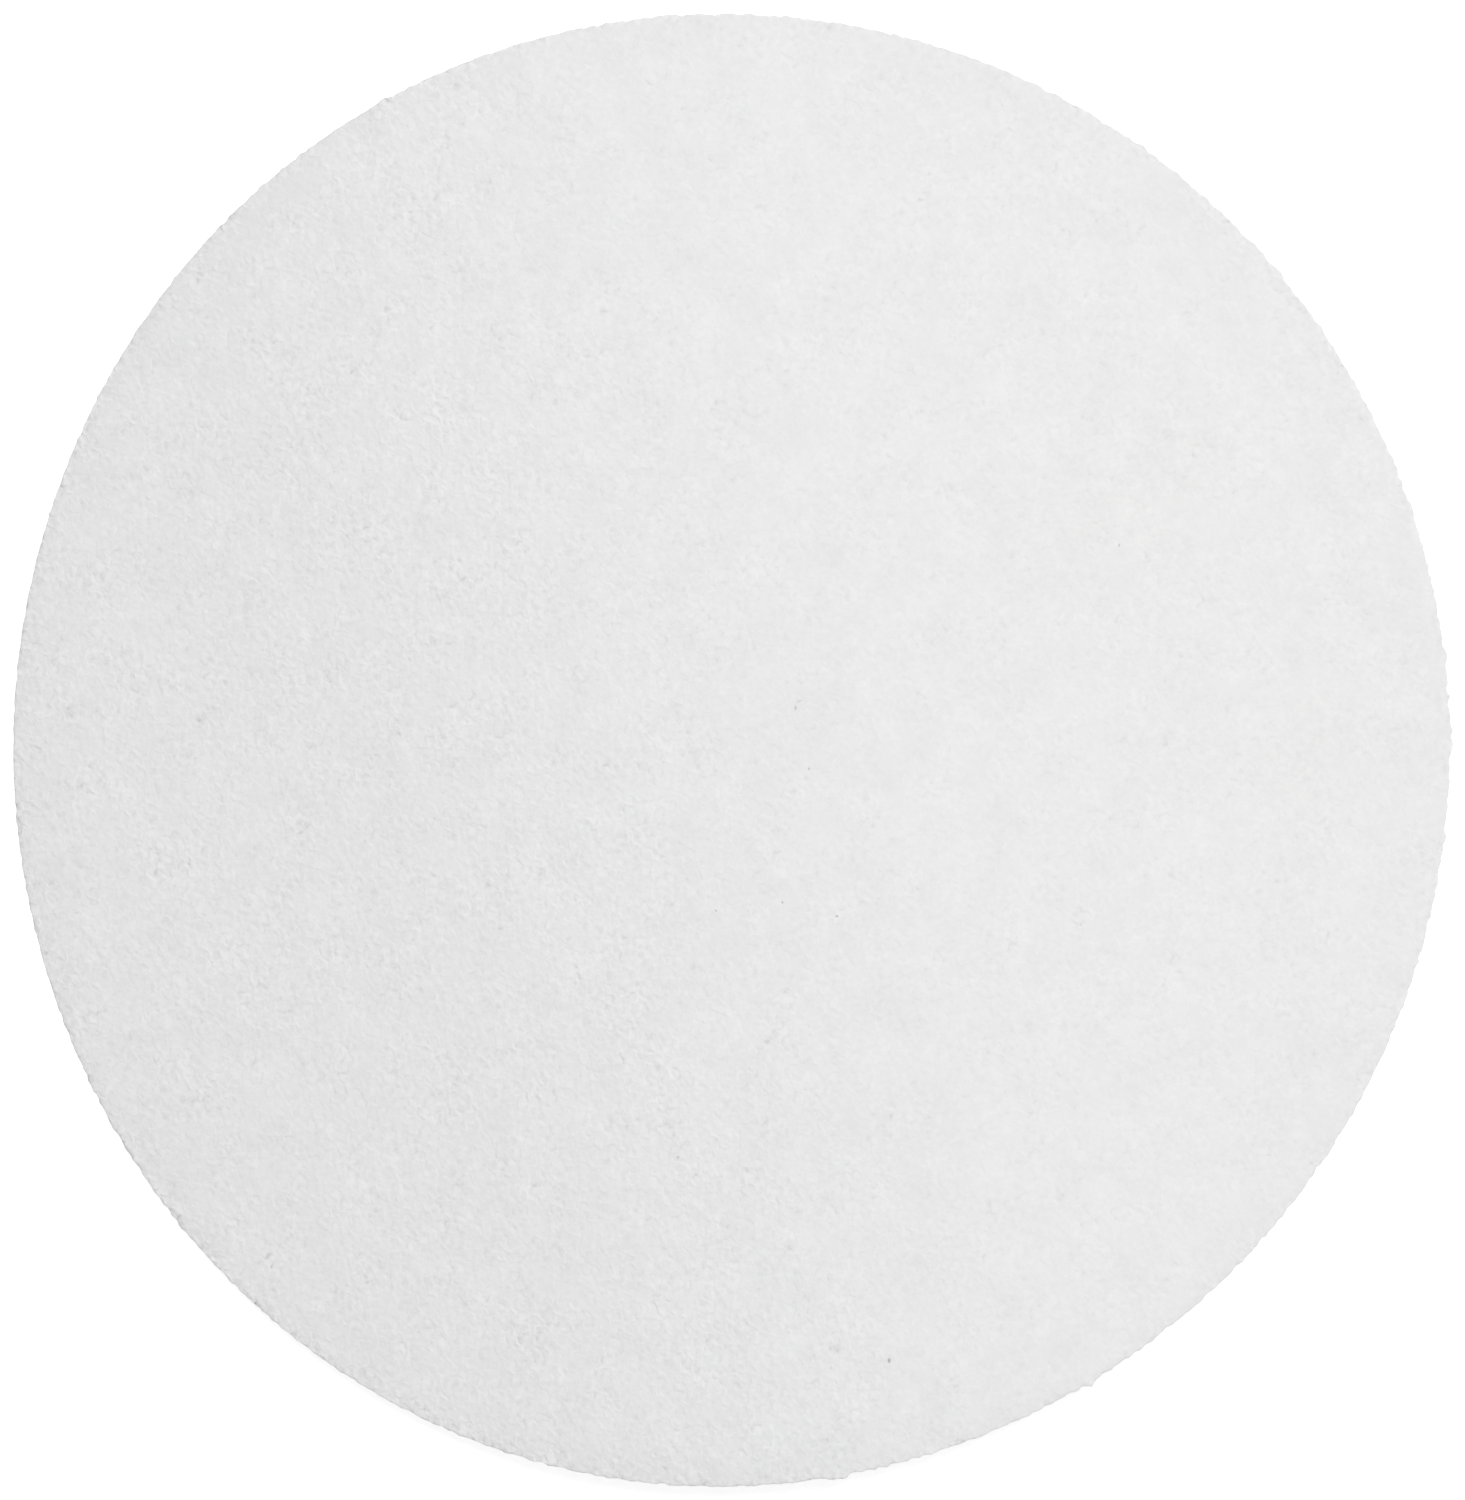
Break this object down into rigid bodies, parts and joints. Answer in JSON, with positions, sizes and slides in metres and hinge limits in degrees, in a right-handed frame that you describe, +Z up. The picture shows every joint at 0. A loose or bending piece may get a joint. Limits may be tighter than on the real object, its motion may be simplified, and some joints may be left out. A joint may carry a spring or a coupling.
{
  "type": "filter paper disc",
  "caption": "Round sheet of thick white filter paper, slightly bent, that lines a laboratory funnel or filter holder.",
  "frame": {"origin": "on the table, under the middle of the disc as it lies", "axes": "+Z up, square to the table; Y along the axis of the bend; +X from the bend towards the longer flat side"},
  "size_m": [0.1096, 0.11, 0.0045],
  "materials": {
    "filter_paper": "matt, unsized and unglazed, with a soft clumped fibre relief"
  },
  "bodies": {
    "root": {"filter_disc": "filter_paper"}
  },
  "joints": []
}
